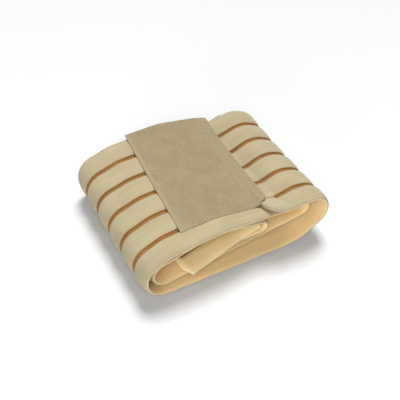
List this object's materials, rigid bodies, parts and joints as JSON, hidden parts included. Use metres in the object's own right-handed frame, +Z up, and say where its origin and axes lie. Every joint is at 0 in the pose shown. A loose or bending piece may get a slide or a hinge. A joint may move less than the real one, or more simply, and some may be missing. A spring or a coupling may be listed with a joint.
{
  "type": "rolled wrist support wrap",
  "caption": "Ribbed elastic wrist wrap wound into a flat open-ended roll and held closed by a wide hook tab pressed on its outer ribs.",
  "frame": {"origin": "centre of the bounding box in plan, on the surface the roll lies on", "axes": "+X along the ribs towards the fold with the hook tab's sewn edge, +Y across the strap away from the open front edge, +Z up from the surface to the hook tab"},
  "size_m": [0.0938, 0.0824, 0.0256],
  "materials": {
    "ribbed_elastic": "matte woven cotton and rubber elastic, cream ribs with tan channels and a tan inner face",
    "hook_tape": "matte finely speckled woven tape in khaki"
  },
  "bodies": {
    "root": {"elastic_strap": "ribbed_elastic", "hook_tab": "hook_tape"}
  },
  "joints": []
}
